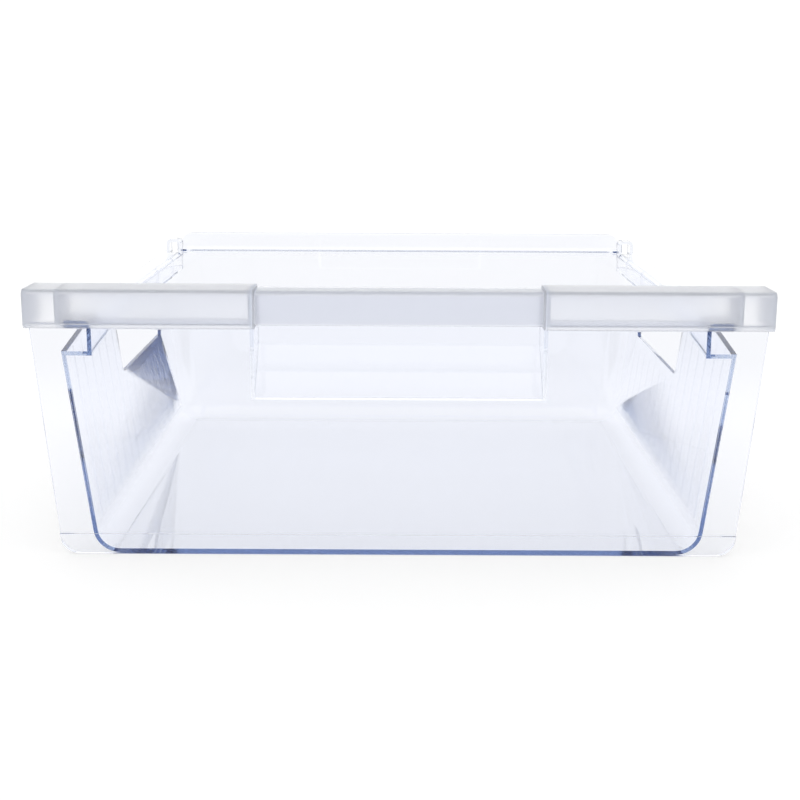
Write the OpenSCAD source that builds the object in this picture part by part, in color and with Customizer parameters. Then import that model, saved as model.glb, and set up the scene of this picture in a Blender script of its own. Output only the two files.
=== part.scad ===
// Clear freezer drawer, moulded in one piece: a drafted tub, a wide front plate with a stepped
// handle rail, a recessed grip with a finger scoop, and a runner groove along each side.
// Millimetres, +Z up. The front faces -Y and the origin is the middle of the footprint.

/* [Overall] */
// Width over the ends of the handle rail
front_w = 454; // [420:1:520]
// Height from the floor to the top of the handle rail
front_h = 168; // [166:1:200]
// Depth from the face of the rail to the back of the rear rim
depth = 380; // [345:1:440]
// Thickness of the moulded walls
wall = 2.6; // [2:0.1:3.2]
// Rounding on the inside of the bends of the rail, ledges and grip
bend_in = 0.9; // [0.4:0.1:2]

/* [Tub] */
// Width between the outer wall faces where they meet the level of the floor
tub_floor_w = 380; // [350:1:384]
// Lean of the side walls, in degrees
side_draft = 7.4; // [5:0.1:7.6]
// Lean of the rear wall, in degrees
rear_draft = 1; // [0.5:0.1:2]
// Outer rounding of the floor edges and of the rear corners
edge_r = 17; // [12:0.5:20]

/* [Front plate] */
// Set-back of the plate behind the face of the rail
plate_set_back = 7; // [5:0.5:10]
// Width of the plate just under the rail
plate_top_w = 451; // [440:1:454]
// Width of the plate at the top of its lower lip
plate_lip_w = 425; // [416:1:430]
// Height of the lower lip
lip_h = 12.8; // [8:0.2:16]
// How far the lower lip stands in front of the plate
lip_proud = 1.4; // [0.8:0.1:3]

/* [Handle rail] */
// Height of the face of the rail
rail_h = 24; // [20:0.5:30]
// Depth of the top of the rail
rail_d = 33.5; // [28:0.5:40]
// How far the rear edge of the rail turns down
rail_lip = 8; // [5:0.5:12]
// Distance between the outer faces of the two webs inside the rail
web_span = 416; // [400:1:420]

/* [Grip] */
// Clear width of the recessed grip
grip_w = 177; // [140:1:220]
// Set-back of the grip bar behind the face of the rail
grip_set_back = 16; // [12:0.5:18]
// How far the top of the grip bar lies below the top of the rail
grip_drop = 2.6; // [1:0.2:5]
// Set-back of the rear wall of the finger scoop, to its rear face
scoop_back = 40; // [38:0.5:46]
// Height of the scoop's lower edge above the floor
scoop_foot = 101; // [92:1:108]
// Height at which the slope of the scoop turns upright
scoop_bend = 129; // [124:1:134]

/* [Runner grooves] */
// Height of the top of the side walls
side_h = 148.2; // [146:0.2:152]
// Distance between the inner faces of the upright strips of the grooves
strip_span = 376; // [370:1:380]
// Distance between the outer edges of the top ledges
ledge_span = 408; // [402:1:412]
// Clear height of a groove
groove_h = 10.3; // [9:0.1:12]
// Drop of the groove's floor at its front end
ramp_drop = 6.4; // [3:0.1:8]
// Distance from the rail's face at which the dropped floor has risen again
ramp_end = 66; // [50:1:90]
// Distances of the two detent ribs of a groove from the rail's face
detents = [252, 324]; // [200:1:340]
// Width and height of a detent rib
detent = 1.4; // [1:0.1:2]

/* [Side windows] */
// Distance from the rail's face to the front edge of a window
window_start = 156; // [140:1:190]
// Length of a window
window_l = 160; // [120:1:180]
// Height of the lower edge of a window above the floor
window_foot = 86; // [70:1:92]
// Height of a window
window_h = 38; // [20:1:39]
// Rounding of the corners of a window
window_r = 4; // [2:0.5:8]
// Spacing of the fine stiffening ribs on the side walls
rib_pitch = 22; // [18:1:30]
// How far the stiffening ribs stand off the wall
rib_proud = 0.5; // [0.3:0.1:1]

/* [Rear] */
// Height of the rear rim
rim_h = 163.6; // [160:0.2:166]
// Height at which the rear wall steps back into the rim
rim_step_z = 149.5; // [149:0.1:152]
// How far the rim stands behind the rear wall
rim_back = 5; // [3:0.5:8]
// Rounding of the upper corners of the rim
rim_r = 10; // [4:1:14]
// Outer width of a stop loop on the rear end of a ledge
loop_w = 12; // [10:0.2:14]
// Height of a stop loop above its ledge
loop_h = 10.8; // [9:0.2:12]
// Length of a stop loop
loop_l = 14; // [8:1:20]

/* [Hidden] */
$fn = 96;
eps = 0.01;
// How much larger each rounded corner is than what it blends into, so that the two overlap
lap = 0.002;
big = 600;

// Heights and depths that follow from the sizes above, with y counted from the rail's face
rail_foot = front_h - rail_h;
plate_back = plate_set_back + wall;
rear_rim_y = depth - wall / 2;
rear_face = depth - rim_back;
ledge_mid = side_h - wall / 2;
ledge_under = side_h - wall;
strip_top = ledge_under - bend_in;
groove_floor = ledge_under - groove_h;
shelf_under = groove_floor - wall;

// The skeleton that both skins of the tub roll around, which lies edge_r inside the outer faces
skel_x = tub_floor_w / 2 - edge_r / cos(side_draft) + edge_r * tan(side_draft);
skel_y = rear_face - (rim_step_z - edge_r) * tan(rear_draft) - edge_r / cos(rear_draft);
skel_top = rim_h;

function skel_side(z) = skel_x + z * tan(side_draft);
function skel_rear(z) = skel_y + z * tan(rear_draft);
function wall_x(z) = tub_floor_w / 2 + z * tan(side_draft);

function unit(v) = v / norm(v);

// A sheet of the wall's thickness along a path, with true bends and with round or square ends
module bent_sheet(path, round_ends = [0, 1]) {
  last = len(path) - 1;
  r = bend_in + wall / 2;
  dirs = [for (i = [0:last - 1]) unit(path[i + 1] - path[i])];
  trims = [for (i = [0:last]) i == 0 || i == last ? 0 : r * tan(acos(dirs[i - 1] * dirs[i]) / 2)];
  for (i = [0:last - 1])
    translate(path[i] + trims[i] * dirs[i]) rotate(atan2(dirs[i][1], dirs[i][0]))
      translate([0, -wall / 2]) square([norm(path[i + 1] - path[i]) - trims[i] - trims[i + 1], wall]);
  for (i = [1:1:last - 1]) {
    centre = path[i] + norm([r, trims[i]]) * unit(dirs[i] - dirs[i - 1]);
    spokes = [-trims[i] * dirs[i - 1], [0, 0], trims[i] * dirs[i]];
    intersection() {
      translate(centre) difference() {
        circle(r = r + wall / 2);
        circle(r = r - wall / 2);
      }
      polygon(concat([centre], [for (k = spokes) centre + 3 * (path[i] + k - centre)]));
    }
  }
  for (k = round_ends) translate(path[k * last]) circle(d = wall);
}

// A profile drawn as (y, z) and carried along X, centred on the middle of the drawer
module along_x(w) {
  rotate([90, 0, 90]) linear_extrude(w, center = true) children();
}

// The same thing on the right and, mirrored, on the left
module both_sides() {
  for (side = [0, 1]) mirror([side, 0, 0]) children();
}

// A wall drawn as (y, z), standing upright on each side with its outer face at x
module side_walls(x) {
  both_sides() translate([x - wall / 2, 0, 0]) along_x(wall) children();
}

// Everything farther out than x on each side, within an outline drawn as (y, z)
module beyond(x) {
  both_sides() translate([x + big / 2, 0, 0]) along_x(big) children();
}

// The skeleton of the tub, with its lower edges edge_r above the floor
module skeleton() {
  intersection() {
    rotate([90, 0, 0]) translate([0, 0, -big]) linear_extrude(big)
      polygon([[-skel_x, 0], [skel_x, 0], [skel_side(skel_top), skel_top], [-skel_side(skel_top), skel_top]]);
    along_x(big)
      polygon([[0, 0], [skel_y, 0], [skel_rear(skel_top), skel_top], [0, skel_top]]);
  }
}

// Flat slabs of thickness r on the faces of the skeleton, sunk a little into it
module skin_slabs(r) {
  slope_s = skel_top / cos(side_draft);
  slope_r = skel_top / cos(rear_draft);
  sunk = edge_r / 3;
  both_sides()
    translate([skel_x, 0, 0]) rotate([0, side_draft, 0]) rotate([90, 0, 90])
      translate([0, 0, -sunk]) linear_extrude(r + sunk)
        polygon([[0, 0], [skel_y, 0], [skel_rear(skel_top), slope_s], [0, slope_s]]);
  translate([0, skel_y, 0]) rotate([90 - rear_draft, 0, 0]) translate([0, 0, -r]) linear_extrude(r + sunk)
    polygon([[-skel_x, 0], [skel_x, 0], [skel_side(skel_top), slope_r], [-skel_side(skel_top), slope_r]]);
  translate([-skel_x, 0, -r]) cube([2 * skel_x, skel_y, r + sunk]);
}

// Everything within r of the skeleton: slabs, then edges as cylinders, then corners as balls
module rolled_skin(r) {
  tilt = [-asin(tan(rear_draft) / norm([tan(side_draft), tan(rear_draft), 1])), side_draft, 0];
  translate([0, 0, edge_r])
    union() {
      union() {
        union() {
          skeleton();
          skin_slabs(r);
        }
        both_sides()
          translate([skel_x, skel_y, 0]) rotate(tilt) cylinder(r = r + lap / 2, h = skel_top);
      }
      translate([0, skel_y, 0]) rotate([0, 90, 0]) cylinder(r = r, h = 2 * skel_x, center = true);
      both_sides() {
        translate([skel_x, 0, 0]) rotate([-90, 0, 0]) cylinder(r = r, h = skel_y);
        translate([skel_x, skel_y, 0]) sphere(r = r + lap);
      }
    }
}

// The (y, z) outline of what lies above a groove's shelf, with the dropped front end
module above_shelf(z) {
  polygon([
    [0, z - ramp_drop], [plate_back, z - ramp_drop], [ramp_end, z], [big, z], [big, big], [0, big]
  ]);
}

// The tub: outer skin less inner skin, with the wall drawn in to the strips above each shelf
module tub() {
  difference() {
    intersection() {
      rolled_skin(edge_r);
      translate([-big / 2, plate_set_back, 0]) cube([big, big, rim_step_z]);
    }
    difference() {
      intersection() {
        rolled_skin(edge_r - wall);
        translate([-big / 2, plate_back, 0]) cube([big, big, big]);
      }
      beyond(strip_span / 2) above_shelf(shelf_under);
    }
    beyond(strip_span / 2 + wall)
      difference() {
        above_shelf(groove_floor);
        square([plate_back, big]);
      }
    beyond(strip_span / 2 - eps) translate([0, strip_top]) square(big);
  }
}

// The flat ledge that each strip bends out into, cut away under the stop loop
module ledges() {
  rear = depth - wall;
  strip_mid = (strip_span + wall) / 2;
  difference() {
    both_sides()
      translate([0, rear, 0]) rotate([90, 0, 0]) linear_extrude(rear - plate_set_back)
        bent_sheet([
          [strip_mid, strip_top - wall], [strip_mid, ledge_mid], [(ledge_span - wall) / 2, ledge_mid]
        ], [1]);
    both_sides()
      translate([strip_span / 2 + wall, rear - loop_l, strip_top - wall])
        cube([loop_w - 2 * wall, 2 * loop_l, 3 * wall]);
  }
}

// A stop loop stands on the rear end of each ledge, open from front to back
module stop_loops() {
  rear = depth - wall;
  mid = strip_span / 2 + loop_w / 2;
  half = (loop_w - wall) / 2;
  both_sides()
    translate([mid, rear, ledge_mid]) rotate([90, 0, 0]) linear_extrude(loop_l)
      bent_sheet([[-half, -bend_in], [-half, loop_h], [half, loop_h], [half, 0]]);
}

// Small upright ribs in the groove, over which the runner clicks
module detent_ribs() {
  both_sides()
    for (y = detents)
      translate([strip_span / 2 + wall - eps, y - detent / 2, groove_floor - eps])
        cube([detent, detent, groove_h + 2 * eps]);
}

// Fine upright ribs on the outside of each side wall, short where a window is above them
module side_ribs() {
  lean_up = (shelf_under - ramp_drop - edge_r) / cos(side_draft);
  lean_low = (window_foot - 2 * window_r - edge_r) / cos(side_draft);
  both_sides()
    for (y = [plate_back + rib_pitch:rib_pitch:rear_face - edge_r - rib_pitch])
      translate([wall_x(edge_r), y, edge_r]) rotate([0, side_draft, 0])
        translate([-wall / 2, -rib_proud, 0])
          cube([wall / 2 + rib_proud, 2 * rib_proud, y < window_start - wall ? lean_up : lean_low]);
}

// A hand window through each side wall, with rounded corners
module windows() {
  rotate([90, 0, 90]) translate([0, 0, -big / 2]) linear_extrude(big)
    translate([window_start, window_foot]) rounded_box([window_l, window_h], window_r);
}

// A rectangle with round corners
module rounded_box(size, r) {
  translate([r, 0]) square([size[0] - 2 * r, size[1]]);
  translate([0, r]) square([size[0], size[1] - 2 * r]);
  for (x = [r, size[0] - r], y = [r, size[1] - r]) translate([x, y]) circle(r = r);
}

// The rear wall steps back and ends in an upright rim with round corners
module rear_rim() {
  rim_w = strip_span + wall;
  intersection() {
    along_x(rim_w) {
      bent_sheet([[rear_face - wall / 2, rim_step_z - wall], [rear_rim_y, rim_step_z + wall / 2]]);
      bent_sheet([[rear_rim_y, rim_step_z + wall / 2], [rear_rim_y, rim_h - wall / 2]]);
    }
    translate([-rim_w / 2, depth + wall, rim_h - 3 * rim_r]) rotate([90, 0, 0]) linear_extrude(6 * wall)
      rounded_box([rim_w, 3 * rim_r], rim_r);
  }
}

// The outline of the front plate, seen from the front
module plate_outline() {
  foot = plate_lip_w / 2 - lip_h;
  polygon([
    [-foot, 0], [foot, 0], [plate_lip_w / 2, lip_h], [plate_top_w / 2, rail_foot + wall],
    [-plate_top_w / 2, rail_foot + wall], [-plate_lip_w / 2, lip_h]
  ]);
  for (side = [-1, 1]) translate([side * foot, lip_h]) circle(r = lip_h);
}

// The front plate with its wings, open where the scoop goes in, and its lower lip
module plate() {
  difference() {
    translate([0, plate_back, 0]) rotate([90, 0, 0]) linear_extrude(wall) plate_outline();
    translate([-grip_w / 2, 0, scoop_foot]) cube([grip_w, big, big]);
  }
  translate([0, plate_back, 0]) rotate([90, 0, 0]) linear_extrude(wall + lip_proud)
    intersection() {
      plate_outline();
      translate([-big / 2, 0]) square([big, lip_h]);
    }
}

// Section of the rail: a ledge forward from the plate, the face, the top and a turned-down edge
rail_path = [
  [plate_back - wall / 2, rail_foot + wall / 2], [wall / 2, rail_foot + wall / 2],
  [wall / 2, front_h - wall / 2], [rail_d - wall / 2, front_h - wall / 2],
  [rail_d - wall / 2, front_h - rail_lip]
];

// The hollow of the rail, as the end caps and webs fill it
module rail_section() {
  translate([wall / 2, rail_foot + wall / 2]) square([rail_d - wall, rail_h - wall]);
  bent_sheet(rail_path);
}

// The two halves of the rail, left and right of the grip, with end caps and webs
module rail() {
  side_l = (front_w - grip_w) / 2;
  for (side = [-1, 1]) translate([side * (grip_w + side_l) / 2, 0, 0]) along_x(side_l) bent_sheet(rail_path);
  side_walls(front_w / 2) rail_section();
  side_walls(web_span / 2) rail_section();
}

// The grip: a bar set back from the rail, the upright wall behind it, and the slope of the scoop
module grip() {
  top = front_h - grip_drop - wall / 2;
  back = scoop_back - wall / 2;
  along_x(grip_w + wall) {
    bent_sheet([
      [grip_set_back + wall / 2, rail_foot + wall / 2], [grip_set_back + wall / 2, top], [back, top],
      [back, scoop_bend]
    ]);
    bent_sheet([[back, scoop_bend], [plate_back - wall / 2, scoop_foot - wall / 2]]);
  }
  side_walls(grip_w / 2 + wall) grip_side();
}

// A side wall of the grip: the rail's section joined to the scoop's
module grip_side() {
  top = front_h - grip_drop - wall / 2;
  back = scoop_back - wall / 2;
  mid = plate_back - wall / 2;
  rail_section();
  polygon([[mid, scoop_foot - wall / 2], [back, scoop_bend], [back, top], [mid, top]]);
  bent_sheet([[mid, top], [back, top], [back, scoop_bend]]);
  bent_sheet([[back, scoop_bend], [mid, scoop_foot - wall / 2]]);
  bent_sheet([[mid, scoop_foot - wall / 2], [mid, top]]);
}

module drawer() {
  color("lightsteelblue", 0.6)
    translate([0, -depth / 2, 0]) {
      difference() {
        tub();
        windows();
        translate([-grip_w / 2, 0, scoop_foot]) cube([grip_w, plate_back + eps, big]);
      }
      ledges();
      stop_loops();
      detent_ribs();
      side_ribs();
      rear_rim();
      plate();
      rail();
      grip();
    }
}

drawer();
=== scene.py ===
"""Looks of a clear freezer drawer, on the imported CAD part: clear plastic, a white stage and the camera.

Metres, +Z up. The front plate and its handle rail face -Y, and the drawer stands at the origin.
"""

import math

import bpy
import numpy as np
from mathutils import Matrix

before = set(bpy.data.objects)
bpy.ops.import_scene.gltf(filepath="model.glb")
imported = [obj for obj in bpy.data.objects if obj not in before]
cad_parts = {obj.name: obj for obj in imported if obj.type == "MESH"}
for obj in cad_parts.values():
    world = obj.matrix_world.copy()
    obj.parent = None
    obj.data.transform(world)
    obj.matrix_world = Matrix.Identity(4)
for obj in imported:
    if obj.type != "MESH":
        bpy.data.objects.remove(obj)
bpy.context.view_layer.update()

# The drawer
# One injection moulding of clear polystyrene: tub, front plate, handle rail and runner grooves in one.
# It bends light like glass, and its faint blue shows at the bends and along the cut edges. The outside
# of the handle rail comes from a part of the mould with a fine texture, which blurs what is behind it.
PLASTIC_IOR = 1.59
CLEAR = (0.955, 0.965, 1.0)
TINT = (0.22, 0.38, 0.66)
TINT_PER_METRE = 5.0
CLEAR_ROUGHNESS = 0.02
RAIL_ROUGHNESS = 0.3
RAIL_FOOT = 0.1435
RAIL_BACK = -0.1565
RAIL_FOOT_BLEND = 0.001
RAIL_BACK_BLEND = 0.002
WELD = 2e-6
SHARP = math.radians(28)


def add_node(tree, kind, inputs=None, **settings):
    """Adds a shader node, sets its properties and fills its inputs from numbers or other nodes' outputs."""
    node = tree.nodes.new(kind)
    for name, value in settings.items():
        setattr(node, name, value)
    for name, value in (inputs or {}).items():
        if isinstance(value, bpy.types.NodeSocket):
            tree.links.new(value, node.inputs[name])
        else:
            node.inputs[name].default_value = value
    return node


def new_material(name):
    """An empty node material and its output node."""
    material = bpy.data.materials.new(name)
    material.use_nodes = True
    material.node_tree.nodes.clear()
    return material, material.node_tree.nodes.new("ShaderNodeOutputMaterial")


def between(tree, value, low, high, start=0.0, end=1.0):
    """A smooth step of value: start at low, end at high, and a cubic with level ends between them."""
    step = add_node(tree, "ShaderNodeMapRange", {"Value": value, "From Min": low, "From Max": high,
                                                 "To Min": start, "To Max": end},
                    interpolation_type="SMOOTHSTEP")
    return step.outputs["Result"]


def object_place(tree):
    """The X, Y and Z of a point on the piece, in the piece's own metres."""
    return add_node(tree, "ShaderNodeSeparateXYZ",
                    {"Vector": add_node(tree, "ShaderNodeTexCoord").outputs["Object"]})


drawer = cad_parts["drawer"]
plastic, output = new_material("clear_blue_plastic")
tree = plastic.node_tree
place = object_place(tree)
above = between(tree, place.outputs["Z"], RAIL_FOOT - RAIL_FOOT_BLEND, RAIL_FOOT)
ahead = between(tree, place.outputs["Y"], RAIL_BACK, RAIL_BACK + RAIL_BACK_BLEND, 1.0, 0.0)
rail = add_node(tree, "ShaderNodeMath", {0: above, 1: ahead}, operation="MULTIPLY").outputs[0]
roughness = add_node(tree, "ShaderNodeMapRange", {"Value": rail, "To Min": CLEAR_ROUGHNESS,
                                                  "To Max": RAIL_ROUGHNESS}).outputs["Result"]
surface = add_node(tree, "ShaderNodeBsdfPrincipled",
                   {"Base Color": (*CLEAR, 1.0), "Roughness": roughness, "IOR": PLASTIC_IOR,
                    "Transmission Weight": 1.0})
inside = add_node(tree, "ShaderNodeVolumeAbsorption", {"Color": (*TINT, 1.0), "Density": TINT_PER_METRE})
tree.links.new(surface.outputs["BSDF"], output.inputs["Surface"])
tree.links.new(inside.outputs["Volume"], output.inputs["Volume"])
drawer.data.materials.clear()
drawer.data.materials.append(plastic)

# The moulding's bends shade smoothly and every edge sharper than SHARP stays an edge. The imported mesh
# is loose triangles, so the modifier joins them first.
shading = bpy.data.node_groups.new("smooth_shading", "GeometryNodeTree")
shading.interface.new_socket("Geometry", in_out="INPUT", socket_type="NodeSocketGeometry")
shading.interface.new_socket("Geometry", in_out="OUTPUT", socket_type="NodeSocketGeometry")
source = add_node(shading, "NodeGroupInput").outputs[0]
welded = add_node(shading, "GeometryNodeMergeByDistance", {"Geometry": source, "Distance": WELD})
angle = add_node(shading, "GeometryNodeInputMeshEdgeAngle").outputs["Unsigned Angle"]
flat = add_node(shading, "FunctionNodeCompare", {0: angle, 1: SHARP}, operation="LESS_THAN")
edges = add_node(shading, "GeometryNodeSetShadeSmooth",
                 {"Geometry": welded.outputs["Geometry"], "Shade Smooth": flat.outputs[0]}, domain="EDGE")
faces = add_node(shading, "GeometryNodeSetShadeSmooth",
                 {"Geometry": edges.outputs["Geometry"], "Shade Smooth": True}, domain="FACE")
add_node(shading, "NodeGroupOutput", {0: faces.outputs["Geometry"]})
modifier = drawer.modifiers.new("smooth_shading", "NODES")
modifier.node_group = shading

# The floor
# A wide sheet of plain white paper, laid flat under the drawer. Toward the camera its colour and glow fade
# to grey, which is painted shade, and the upright faces of the plastic mirror that grey in their upper
# part.
FLOOR_HALF = 6.0
FLOOR_DROP = 0.0005
FLOOR_WHITE = 1.04
FLOOR_WHITE_FROM = -0.52
FLOOR_PAINTED_SHADE = 0.3
FLOOR_PAINTED_SHADE_TO = -0.85
FLOOR_SHOWN = 0.6

corners = FLOOR_HALF * np.array([(-1, -1, 0), (1, -1, 0), (1, 1, 0), (-1, 1, 0)])
floor_mesh = bpy.data.meshes.new("floor")
floor_mesh.from_pydata(corners.tolist(), [], [(0, 1, 2, 3)])
floor = bpy.data.objects.new("floor", floor_mesh)
floor.location.z = -FLOOR_DROP
bpy.context.collection.objects.link(floor)
paper, output = new_material("white_paper")
tree = paper.node_tree
place = object_place(tree)
# Painted shade: the paper's colour and glow fall from white near the drawer to grey toward the camera.
white_to_painted_shade = between(tree, place.outputs["Y"], FLOOR_PAINTED_SHADE_TO, FLOOR_WHITE_FROM, FLOOR_PAINTED_SHADE, FLOOR_WHITE)
shaded = add_node(tree, "ShaderNodeBsdfDiffuse",
                  {"Color": add_node(tree, "ShaderNodeCombineColor",
                                     {"Red": white_to_painted_shade, "Green": white_to_painted_shade, "Blue": white_to_painted_shade}).outputs[0]})
bright = add_node(tree, "ShaderNodeEmission", {"Strength": white_to_painted_shade})
ray = add_node(tree, "ShaderNodeLightPath")
seen = add_node(tree, "ShaderNodeMath", {0: ray.outputs["Is Camera Ray"], 1: ray.outputs["Is Glossy Ray"]},
                operation="MAXIMUM")
seen = add_node(tree, "ShaderNodeMath", {0: seen.outputs[0], 1: ray.outputs["Is Transmission Ray"]},
                operation="MAXIMUM")
share = add_node(tree, "ShaderNodeMath", {0: seen.outputs[0], 1: FLOOR_SHOWN}, operation="MULTIPLY")
surface = add_node(tree, "ShaderNodeMixShader",
                   {"Fac": share.outputs[0], 1: shaded.outputs["BSDF"], 2: bright.outputs["Emission"]})
tree.links.new(surface.outputs["Shader"], output.inputs["Surface"])
floor_mesh.materials.append(paper)

# The room
# Soft white light from all round, full from behind the drawer and from above, and weaker from low in
# front, where the photographer stands.
ROOM_FULL = 1.12
ROOM_FRONT = 0.62
BACK_FROM = -0.35
BACK_TO = 0.1
OVERHEAD_FROM = 0.35
OVERHEAD_TO = 0.6

world = bpy.data.worlds.new("studio")
world.use_nodes = True
bpy.context.scene.world = world
tree = world.node_tree
tree.nodes.clear()
output = tree.nodes.new("ShaderNodeOutputWorld")
direction = add_node(tree, "ShaderNodeSeparateXYZ",
                     {"Vector": add_node(tree, "ShaderNodeTexCoord").outputs["Generated"]})
toward_back = between(tree, direction.outputs["Y"], BACK_FROM, BACK_TO)
overhead = between(tree, direction.outputs["Z"], OVERHEAD_FROM, OVERHEAD_TO)
lit = add_node(tree, "ShaderNodeMath", {0: toward_back, 1: overhead}, operation="MAXIMUM").outputs[0]
glow = add_node(tree, "ShaderNodeMapRange",
                {"Value": lit, "To Min": ROOM_FRONT, "To Max": ROOM_FULL}).outputs["Result"]
light = add_node(tree, "ShaderNodeBackground", {"Color": (1.0, 1.0, 1.0, 1.0), "Strength": glow})
tree.links.new(light.outputs["Background"], output.inputs["Surface"])

# The camera
# It stands in front of the drawer and a little above it, tipped down. Light that runs inside the clear
# walls turns back many times before it comes out, so it is followed a long way.
CAMERA_PLACE = (0.0008, -1.0133, 0.2882)
CAMERA_DOWN = math.radians(12.79)
CAMERA_ROLL = math.radians(0.28)
CAMERA_LENS = 62.28
CAMERA_SENSOR = 36.0
WALL_BOUNCES = 200
TRANSPARENT_BOUNCES = 16

camera_data = bpy.data.cameras.new("camera")
camera_data.lens = CAMERA_LENS
camera_data.sensor_width = CAMERA_SENSOR
camera = bpy.data.objects.new("camera", camera_data)
camera.matrix_world = (Matrix.Translation(CAMERA_PLACE)
                       @ Matrix.Rotation(math.pi / 2 - CAMERA_DOWN, 4, "X")
                       @ Matrix.Rotation(CAMERA_ROLL, 4, "Z"))
bpy.context.collection.objects.link(camera)

scene = bpy.context.scene
scene.camera = camera
scene.view_settings.view_transform = "Standard"
scene.cycles.max_bounces = WALL_BOUNCES
scene.cycles.transmission_bounces = WALL_BOUNCES
scene.cycles.glossy_bounces = WALL_BOUNCES
scene.cycles.transparent_max_bounces = TRANSPARENT_BOUNCES
